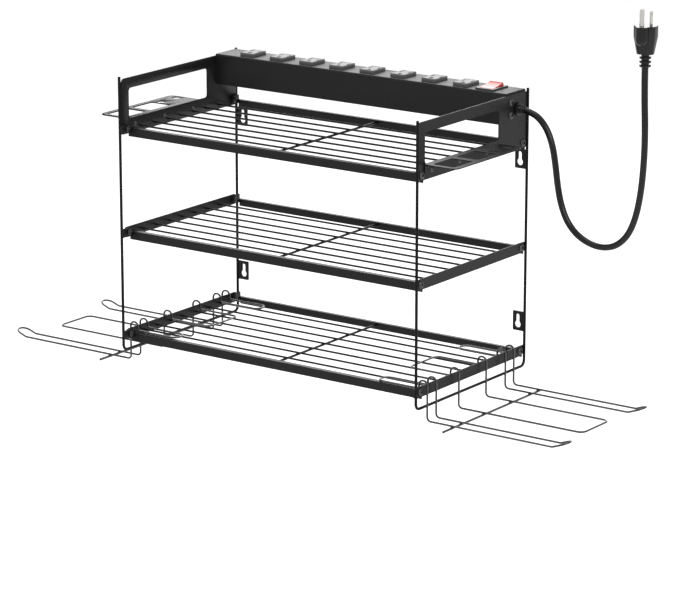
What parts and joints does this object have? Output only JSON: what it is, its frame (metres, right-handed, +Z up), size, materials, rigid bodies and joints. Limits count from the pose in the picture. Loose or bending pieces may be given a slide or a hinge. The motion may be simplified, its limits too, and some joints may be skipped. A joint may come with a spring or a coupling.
{
  "type": "power tool storage rack",
  "caption": "Wall rack of black wire shelves between bent side frames, with a power strip, side holders for hand tools and lift-off hook racks for power tools.",
  "frame": {"origin": "centre of the four keyhole holes, on the wall plane at the back of the rack", "axes": "+X to the right seen from the front, +Y into the wall, +Z up"},
  "size_m": [0.8342, 0.2384, 0.4855],
  "materials": {
    "black_powder_coat": "satin powder coat with a fine orange-peel texture",
    "black_fastener": "black oxide, satin",
    "black_hook_wire": "gloss black coat",
    "strip_housing": "satin black",
    "strip_end_cap": "matt black",
    "outlet_plastic": "satin dark grey moulding",
    "brass_contact": "bare",
    "switch_bezel": "matt black",
    "red_rocker": "gloss red moulding",
    "plug_pins": "polished",
    "cord_vinyl": "soft black vinyl"
  },
  "bodies": {
    "frame": {"bottom_shelf_front_rail": "black_powder_coat", "bottom_shelf_left_bar": "black_powder_coat", "bottom_shelf_rear_rail": "black_powder_coat", "bottom_shelf_right_bar": "black_powder_coat", "bottom_shelf_wires": "black_powder_coat", "cord_strain_relief": "cord_vinyl", "frame_bolts": "black_fastener", "frame_nuts": "black_fastener", "ground_bar": "brass_contact", "holder_rivets": "black_powder_coat", "left_frame_wire": "black_powder_coat", "left_side_plate": "black_powder_coat", "left_tool_holder": "black_powder_coat", "live_bar": "brass_contact", "lower_keyhole_tabs": "black_powder_coat", "middle_shelf_front_rail": "black_powder_coat", "middle_shelf_left_bar": "black_powder_coat", "middle_shelf_rear_rail": "black_powder_coat", "middle_shelf_right_bar": "black_powder_coat", "middle_shelf_wires": "black_powder_coat", "neutral_bar": "brass_contact", "outlet_1": "outlet_plastic", "outlet_2": "outlet_plastic", "outlet_3": "outlet_plastic", "outlet_4": "outlet_plastic", "outlet_5": "outlet_plastic", "outlet_6": "outlet_plastic", "outlet_7": "outlet_plastic", "outlet_8": "outlet_plastic", "plug_blades": "plug_pins", "plug_body": "cord_vinyl", "plug_ground_pin": "plug_pins", "plug_strain_relief": "cord_vinyl", "power_cord": "cord_vinyl", "right_frame_wire": "black_powder_coat", "right_side_plate": "black_powder_coat", "right_tool_holder": "black_powder_coat", "shelf_cross_bars": "black_powder_coat", "strip_base": "strip_housing", "strip_cover": "strip_housing", "strip_left_end_cap": "strip_end_cap", "strip_right_end_cap": "strip_end_cap", "strip_screws": "black_fastener", "switch_frame": "switch_bezel", "top_shelf_front_rail": "black_powder_coat", "top_shelf_rear_rail": "black_powder_coat", "top_shelf_wires": "black_powder_coat", "upper_keyhole_tabs": "black_powder_coat", "weld_tabs": "black_powder_coat"},
    "rocker": {"rocker_switch": "red_rocker"},
    "right_hook_rack": {"right_rack_front_hook": "black_hook_wire", "right_rack_middle_hook": "black_hook_wire", "right_rack_rear_hook": "black_hook_wire", "right_rack_cross_wire": "black_hook_wire"},
    "left_hook_rack": {"left_rack_front_hook": "black_hook_wire", "left_rack_middle_hook": "black_hook_wire", "left_rack_rear_hook": "black_hook_wire", "left_rack_cross_wire": "black_hook_wire"}
  },
  "joints": [
    {"name": "switch_rock", "type": "hinge", "parent": "frame", "child": "rocker", "pos_m": [0.1835, -0.02525, 0.192], "axis": [-1, 0, 0], "range_deg": [0, 20]},
    {"name": "right_rack_lift", "type": "slide", "parent": "frame", "child": "right_hook_rack", "axis": [0, 0, 1], "range_m": [0, 0.03]},
    {"name": "left_rack_lift", "type": "slide", "parent": "frame", "child": "left_hook_rack", "axis": [0, 0, 1], "range_m": [0, 0.03]}
  ]
}
